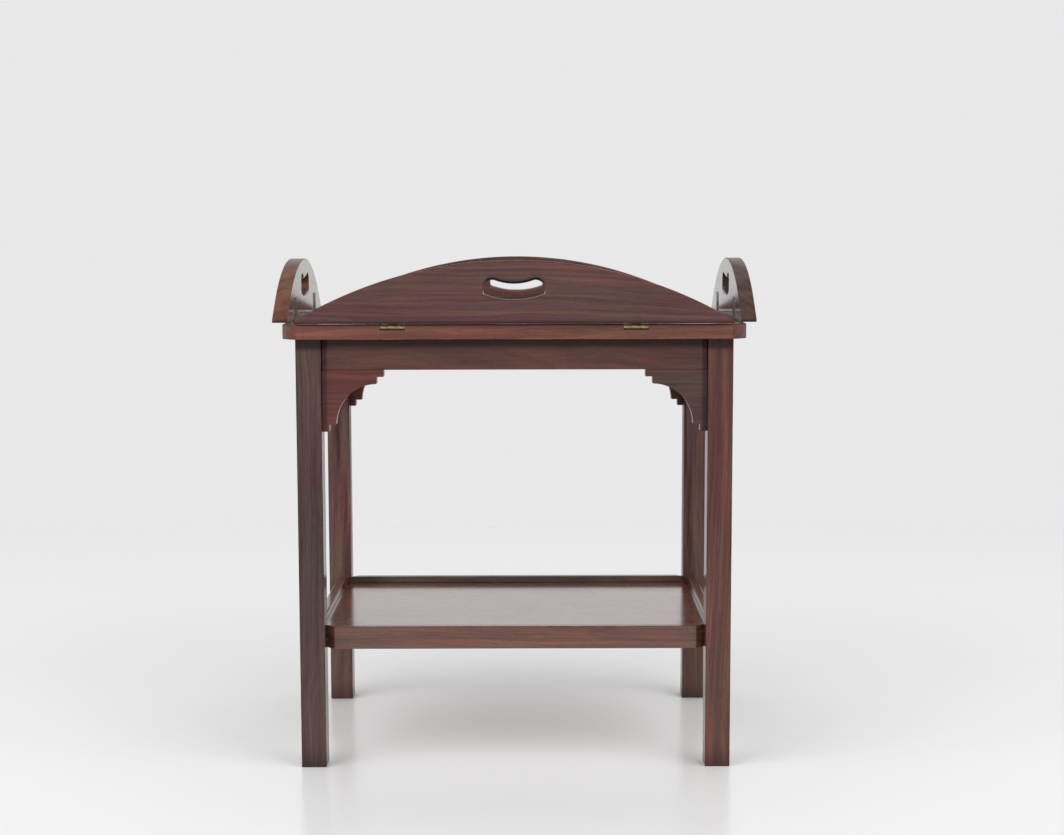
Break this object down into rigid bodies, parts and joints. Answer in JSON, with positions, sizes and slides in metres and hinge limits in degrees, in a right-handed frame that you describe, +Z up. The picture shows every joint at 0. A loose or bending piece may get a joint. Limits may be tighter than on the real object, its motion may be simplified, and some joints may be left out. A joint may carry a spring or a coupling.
{
  "type": "butler's tray table",
  "caption": "Butler's tray table: a lift-off tray with hinged, pierced flaps that fold up or flat, on a square-legged stand with stepped corner brackets and a railed shelf.",
  "frame": {"origin": "on the floor, under the middle of the table", "axes": "+Z up, +X to the right and -Y out of the front, where -Y is a long side of the tray"},
  "size_m": [0.571, 0.397, 0.6105],
  "materials": {
    "leg_wood": "polished mahogany, grain upright",
    "apron_wood": "polished mahogany, darker",
    "bracket_wood": "polished mahogany",
    "rail_wood": "polished mahogany",
    "shelf_wood": "glossy polished mahogany",
    "tray_wood": "glossy polished mahogany, redder",
    "flap_wood": "glossy polished mahogany",
    "inner_wood": "bare softwood",
    "brass": "dull aged brass",
    "steel": "plain steel"
  },
  "bodies": {
    "stand": {"leg_front_left": "leg_wood", "leg_front_right": "leg_wood", "leg_back_left": "leg_wood", "leg_back_right": "leg_wood", "apron_front": "apron_wood", "apron_back": "apron_wood", "apron_left": "apron_wood", "apron_right": "apron_wood", "bracket_front_left": "bracket_wood", "bracket_front_right": "bracket_wood", "bracket_back_left": "bracket_wood", "bracket_back_right": "bracket_wood", "bracket_left_front": "bracket_wood", "bracket_left_back": "bracket_wood", "bracket_right_front": "bracket_wood", "bracket_right_back": "bracket_wood", "corner_blocks": "inner_wood", "corner_block_screws": "steel", "shelf_panel": "shelf_wood", "shelf_rail_front": "rail_wood", "shelf_rail_back": "rail_wood", "shelf_rail_left": "rail_wood", "shelf_rail_right": "rail_wood", "shelf_dowels": "inner_wood"},
    "tray": {"tray_board": "tray_wood", "tray_cleat_front": "tray_wood", "tray_cleat_back": "tray_wood", "cleat_screws": "steel", "tray_leaf_front_left": "brass", "tray_leaf_front_right": "brass", "tray_leaf_back_left": "brass", "tray_leaf_back_right": "brass", "tray_leaf_left_front": "brass", "tray_leaf_left_back": "brass", "tray_leaf_right_front": "brass", "tray_leaf_right_back": "brass", "tray_leaf_screws": "brass", "hinge_springs": "steel", "hinge_pins": "brass"},
    "front_flap": {"flap_front": "flap_wood", "flap_leaf_front_left": "brass", "flap_leaf_front_right": "brass", "flap_screws_front": "brass"},
    "back_flap": {"flap_back": "flap_wood", "flap_leaf_back_left": "brass", "flap_leaf_back_right": "brass", "flap_screws_back": "brass"},
    "left_flap": {"flap_left": "flap_wood", "flap_leaf_left_front": "brass", "flap_leaf_left_back": "brass", "flap_screws_left": "brass"},
    "right_flap": {"flap_right": "flap_wood", "flap_leaf_right_front": "brass", "flap_leaf_right_back": "brass", "flap_screws_right": "brass"}
  },
  "joints": [
    {"name": "tray_lift", "type": "slide", "parent": "stand", "child": "tray", "axis": [0, 0, 1], "range_m": [0, 0.12]},
    {"name": "front_flap_hinge", "type": "hinge", "parent": "tray", "child": "front_flap", "pos_m": [0, -0.1835, 0.533], "axis": [1, 0, 0], "range_deg": [0, 90]},
    {"name": "back_flap_hinge", "type": "hinge", "parent": "tray", "child": "back_flap", "pos_m": [0, 0.1835, 0.533], "axis": [-1, 0, 0], "range_deg": [0, 90]},
    {"name": "left_flap_hinge", "type": "hinge", "parent": "tray", "child": "left_flap", "pos_m": [-0.2705, 0, 0.533], "axis": [0, -1, 0], "range_deg": [0, 90]},
    {"name": "right_flap_hinge", "type": "hinge", "parent": "tray", "child": "right_flap", "pos_m": [0.2705, 0, 0.533], "axis": [0, 1, 0], "range_deg": [0, 90]}
  ]
}
